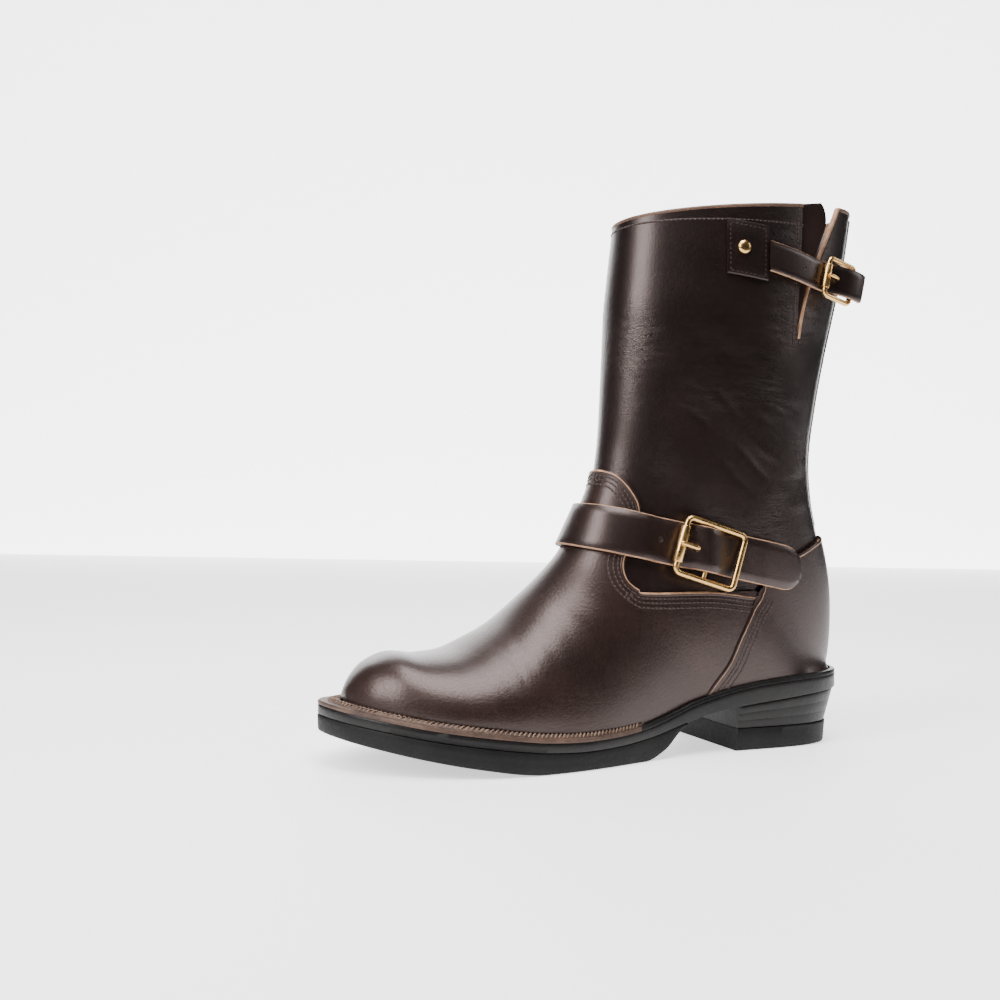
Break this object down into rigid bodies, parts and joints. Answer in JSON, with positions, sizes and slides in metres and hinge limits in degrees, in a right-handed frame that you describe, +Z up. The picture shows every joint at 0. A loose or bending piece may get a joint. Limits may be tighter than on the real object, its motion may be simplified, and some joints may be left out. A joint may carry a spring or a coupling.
{
  "type": "engineer boot",
  "caption": "Leather pull-on engineer boot with a buckled instep strap, a buckled strap at the collar over a gusset, a welted sole and a stacked heel.",
  "frame": {"origin": "centre of the bounding box at floor level, with the boot standing on its sole", "axes": "+Z up, the toe points to -Y, +X is the wearer's left and the outer side of this left boot"},
  "size_m": [0.1106, 0.3266, 0.3213],
  "materials": {
    "shaft_leather": "waxed, soft sheen",
    "vamp_leather": "waxed, soft sheen",
    "welt_leather": "stitched, matt",
    "edge_black": "dyed and waxed edge",
    "sole_rubber": "matt",
    "insole_leather": "plain, matt",
    "brass": "polished"
  },
  "bodies": {
    "root": {"upper": "shaft_leather", "gusset": "shaft_leather", "back_stay": "shaft_leather", "instep_strap": "shaft_leather", "anchor_medial": "shaft_leather", "anchor_lateral": "shaft_leather", "top_strap": "shaft_leather", "strap_patch": "shaft_leather", "vamp": "vamp_leather", "counter": "vamp_leather", "welt": "welt_leather", "midsole": "edge_black", "rand": "edge_black", "heel_stack": "edge_black", "outsole": "sole_rubber", "top_lift": "sole_rubber", "insole": "insole_leather", "instep_buckle": "brass", "instep_roller": "brass", "instep_prong": "brass", "top_buckle": "brass", "top_roller": "brass", "top_prong": "brass", "rivet": "brass"}
  },
  "joints": []
}
